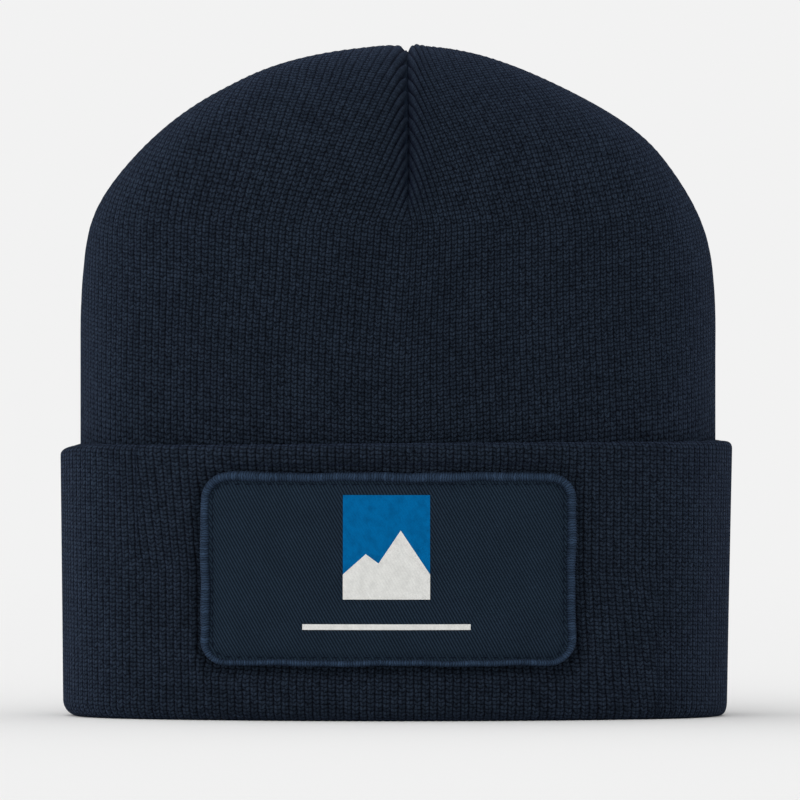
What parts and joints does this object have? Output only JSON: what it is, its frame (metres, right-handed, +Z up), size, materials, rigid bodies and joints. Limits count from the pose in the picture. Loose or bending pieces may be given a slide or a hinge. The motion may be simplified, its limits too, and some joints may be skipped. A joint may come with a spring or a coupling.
{
  "type": "knit beanie",
  "caption": "Cuffed beanie in double rib knit with a darted crown, a full lining, a turned-up cuff and a plain sewn patch.",
  "frame": {"origin": "middle of the hat's footprint, on the lower fold", "axes": "+Z up to the crown, -Y out of the front where the patch is, +X to the viewer's right when facing the patch"},
  "size_m": [0.214, 0.1224, 0.214],
  "materials": {
    "rib_knit": "dark navy acrylic yarn, one by one rib knit, soft and matt",
    "lining_knit": "the same navy rib knit, seen from inside",
    "dart_allowance": "overlocked edges of the navy knit",
    "sewing_thread": "navy polyester sewing thread",
    "patch_twill": "blue-black polyester twill with fine diagonal ribs",
    "patch_backing": "stiff non-woven backing",
    "border_thread": "blue-grey embroidery thread, overlocked close together, slight sheen",
    "print_blue": "blue transfer print on twill",
    "print_white": "off-white transfer print on twill",
    "label_ribbon": "off-white satin ribbon, blank"
  },
  "bodies": {
    "cuff": {"cuff_outer": "rib_knit", "cuff_inner": "rib_knit", "cuff_hem": "rib_knit", "lining_turn": "rib_knit", "shell_turn": "rib_knit", "patch_backing": "patch_backing", "patch_face": "patch_twill", "patch_border": "border_thread", "patch_stitches": "sewing_thread", "print_panel": "print_blue", "print_hills": "print_white", "print_rule": "print_white"},
    "crown": {"outer_shell": "rib_knit", "lining_shell": "lining_knit", "crown_seam_front": "dart_allowance", "crown_seam_back": "dart_allowance", "crown_seam_left": "dart_allowance", "crown_seam_right": "dart_allowance", "lining_seam_front": "dart_allowance", "lining_seam_back": "dart_allowance", "lining_seam_left": "dart_allowance", "lining_seam_right": "dart_allowance", "crown_tack": "sewing_thread", "care_label": "label_ribbon", "label_stitches": "sewing_thread"}
  },
  "joints": [
    {"name": "cuff_slide", "type": "slide", "parent": "cuff", "child": "crown", "axis": [0, 0, 1], "range_m": [0, 0.07]}
  ]
}
